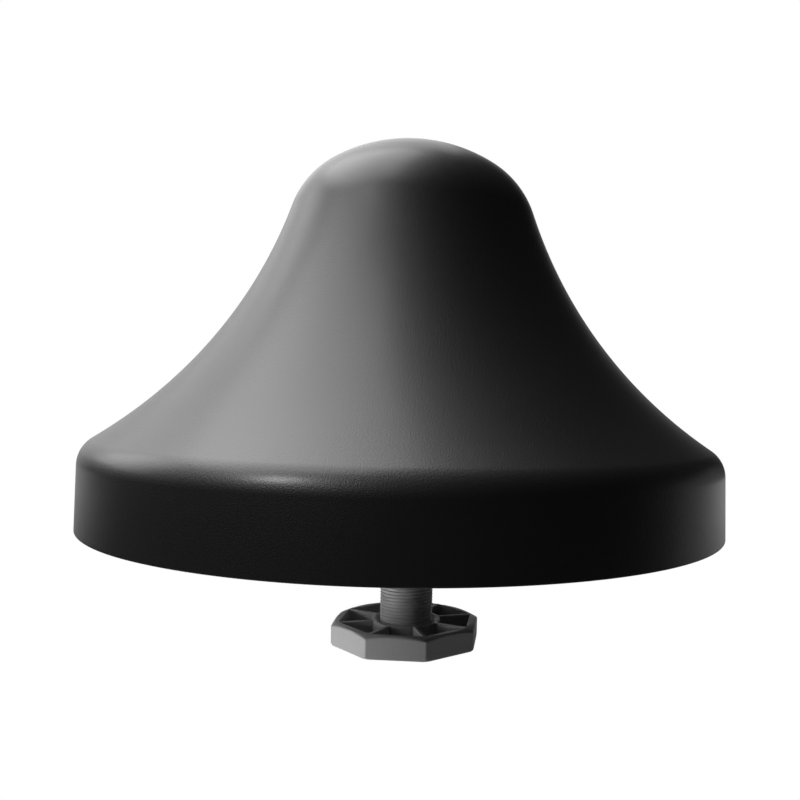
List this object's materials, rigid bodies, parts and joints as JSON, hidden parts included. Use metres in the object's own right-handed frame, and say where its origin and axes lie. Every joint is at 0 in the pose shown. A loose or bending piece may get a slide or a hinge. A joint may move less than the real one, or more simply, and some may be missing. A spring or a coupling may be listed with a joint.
{
  "type": "ceiling antenna",
  "caption": "Dome ceiling antenna: black bell radome with an upright rim, hollow threaded stud and octagonal hand nut, and a coaxial cone radiator inside.",
  "frame": {"origin": "centre of the ceiling face, on the axis of the stud, where the rim and the base plate lie against the ceiling board", "axes": "+Z along the axis into the dome, so the stud points along -Z; -Y is the side that faces the camera"},
  "size_m": [0.186, 0.186, 0.15],
  "materials": {
    "radome_black_abs": "fine spark texture, satin",
    "base_black_abs": "fine spark texture, matt",
    "grey_nylon": "moulded, satin",
    "aluminium_sheet": "mill finish",
    "spun_aluminium": "spun",
    "rivet_aluminium": "plain",
    "brass": "turned",
    "white_ptfe": "turned",
    "natural_nylon": "moulded",
    "zinc_plated_steel": "zinc plated"
  },
  "bodies": {
    "antenna": {"radome": "radome_black_abs", "base_plate": "base_black_abs", "stud": "grey_nylon", "ground_plate": "aluminium_sheet", "feed_bush": "brass", "feed_insulator": "white_ptfe", "feed_pin": "brass", "feed_nut": "brass", "radiator_cone": "spun_aluminium", "radiator_cap": "spun_aluminium", "standoff_1": "natural_nylon", "standoff_2": "natural_nylon", "standoff_3": "natural_nylon", "shorting_strap_1": "aluminium_sheet", "shorting_strap_2": "aluminium_sheet", "shorting_strap_3": "aluminium_sheet", "radome_screws": "zinc_plated_steel", "ground_plate_screws": "zinc_plated_steel", "standoff_lower_screws": "zinc_plated_steel", "standoff_upper_screws": "zinc_plated_steel", "strap_top_rivets": "rivet_aluminium", "strap_foot_rivets": "rivet_aluminium"},
    "nut_body": {"nut": "grey_nylon"}
  },
  "joints": [
    {"name": "nut_travel", "type": "slide", "parent": "antenna", "child": "nut_body", "axis": [0, 0, 1], "range_m": [-0.008, 0.0275]}
  ]
}
